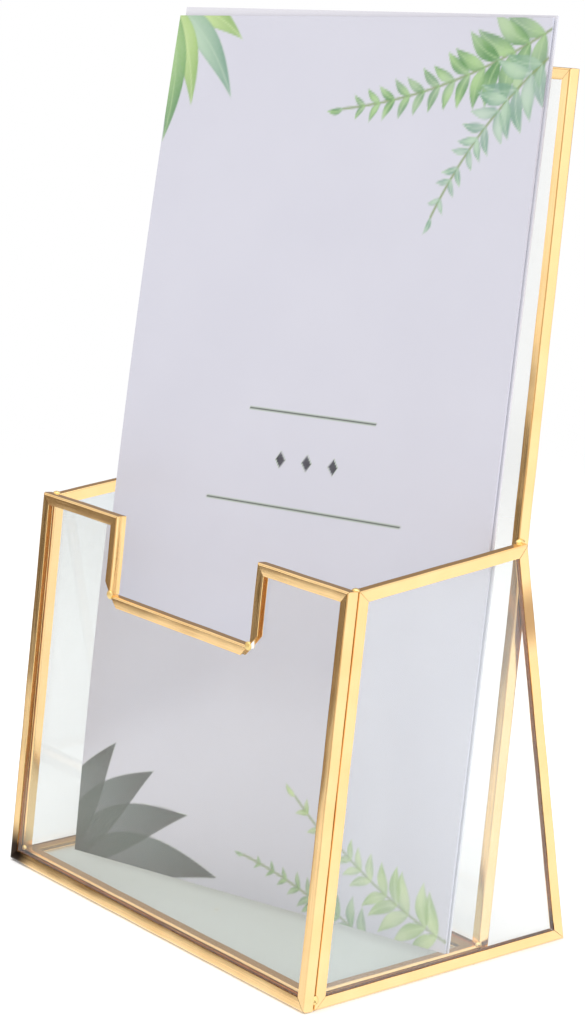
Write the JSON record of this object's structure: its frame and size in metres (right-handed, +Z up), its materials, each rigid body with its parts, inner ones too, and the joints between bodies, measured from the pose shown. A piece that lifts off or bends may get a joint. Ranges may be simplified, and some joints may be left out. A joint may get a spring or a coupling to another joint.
{
  "type": "menu stand",
  "caption": "Small glass menu stand with folded brass channel round every pane, a finger notch in the low front and a tall leaning back, with loose cards in its pocket.",
  "frame": {"origin": "on the table, under the middle of the stand's bounding box", "axes": "+Z up, -Y towards the notched front, +X to the right of someone who reads the cards"},
  "size_m": [0.1104, 0.0692, 0.1886],
  "materials": {
    "pane_glass": "clear float glass, cut edges",
    "brass_channel": "folded sheet, polished",
    "solder": "pale soldered bead, satin",
    "card_stock": "printed card, matt"
  },
  "bodies": {
    "frame": {"front_glass": "pane_glass", "left_glass": "pane_glass", "right_glass": "pane_glass", "base_glass": "pane_glass", "back_glass": "pane_glass", "front_bottom_channel": "brass_channel", "front_right_channel": "brass_channel", "front_top_right_channel": "brass_channel", "front_notch_right_channel": "brass_channel", "front_notch_bottom_channel": "brass_channel", "front_notch_left_channel": "brass_channel", "front_top_left_channel": "brass_channel", "front_left_channel": "brass_channel", "left_bottom_channel": "brass_channel", "left_rear_channel": "brass_channel", "left_top_channel": "brass_channel", "left_front_channel": "brass_channel", "right_bottom_channel": "brass_channel", "right_rear_channel": "brass_channel", "right_top_channel": "brass_channel", "right_front_channel": "brass_channel", "base_front_channel": "brass_channel", "base_right_channel": "brass_channel", "base_rear_channel": "brass_channel", "base_left_channel": "brass_channel", "back_bottom_channel": "brass_channel", "back_right_channel": "brass_channel", "back_top_channel": "brass_channel", "back_left_channel": "brass_channel", "solder_front_top_left": "solder", "solder_front_foot_left": "solder", "solder_notch_left": "solder", "solder_rear_tip_left": "solder", "solder_back_foot_left": "solder", "solder_base_front_left": "solder", "solder_front_top_right": "solder", "solder_front_foot_right": "solder", "solder_notch_right": "solder", "solder_rear_tip_right": "solder", "solder_back_foot_right": "solder", "solder_base_front_right": "solder"},
    "front_card": {"front_card": "card_stock"},
    "rear_card": {"rear_card": "card_stock"}
  },
  "joints": [
    {"name": "front_card_lift", "type": "slide", "parent": "frame", "child": "front_card", "axis": [-0.0398, 0.1722, 0.9843], "range_m": [0, 0.19]},
    {"name": "rear_card_lift", "type": "slide", "parent": "frame", "child": "rear_card", "axis": [-0.0398, 0.1722, 0.9843], "range_m": [0, 0.19]}
  ]
}
